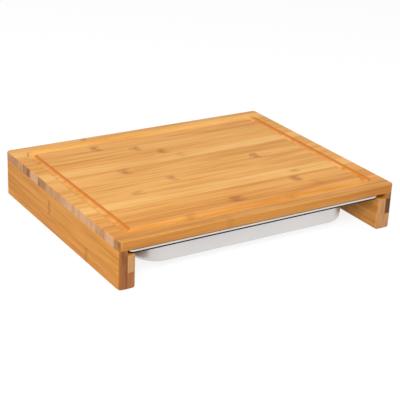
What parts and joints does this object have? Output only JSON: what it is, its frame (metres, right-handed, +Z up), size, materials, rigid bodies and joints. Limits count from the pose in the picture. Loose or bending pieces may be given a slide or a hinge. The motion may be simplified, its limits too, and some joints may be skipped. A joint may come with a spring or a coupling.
{
  "type": "cutting board with slide-out tray",
  "caption": "Bamboo cutting board with a juice groove on two side legs, and a steel tray that slides in under it.",
  "frame": {"origin": "centre of the footprint, on the surface it stands on", "axes": "+X to the right seen from the open front, +Y to the back, +Z up"},
  "size_m": [0.38, 0.305, 0.058],
  "materials": {
    "board_bamboo": "glued bamboo staves, sanded and lightly oiled",
    "leg_bamboo": "glued bamboo strips on edge, sanded and lightly oiled",
    "dowel_beech": "plain turned wood",
    "stainless_steel": "drawn stainless sheet, satin"
  },
  "bodies": {
    "stand": {"board_stave_01": "board_bamboo", "board_stave_02": "board_bamboo", "board_stave_03": "board_bamboo", "board_stave_04": "board_bamboo", "board_stave_05": "board_bamboo", "board_stave_06": "board_bamboo", "board_stave_07": "board_bamboo", "board_stave_08": "board_bamboo", "board_stave_09": "board_bamboo", "board_stave_10": "board_bamboo", "board_stave_11": "board_bamboo", "board_stave_12": "board_bamboo", "board_stave_13": "board_bamboo", "board_stave_14": "board_bamboo", "board_stave_15": "board_bamboo", "left_panel_lower": "leg_bamboo", "left_panel_middle": "leg_bamboo", "left_panel_upper": "leg_bamboo", "right_panel_lower": "leg_bamboo", "right_panel_middle": "leg_bamboo", "right_panel_upper": "leg_bamboo", "left_rail_lower": "leg_bamboo", "left_rail_upper": "leg_bamboo", "right_rail_lower": "leg_bamboo", "right_rail_upper": "leg_bamboo", "rear_stop": "leg_bamboo", "left_dowels": "dowel_beech", "right_dowels": "dowel_beech"},
    "tray": {"tray": "stainless_steel"}
  },
  "joints": [
    {"name": "tray_slide", "type": "slide", "parent": "stand", "child": "tray", "axis": [0, -1, 0], "range_m": [0, 0.3]}
  ]
}
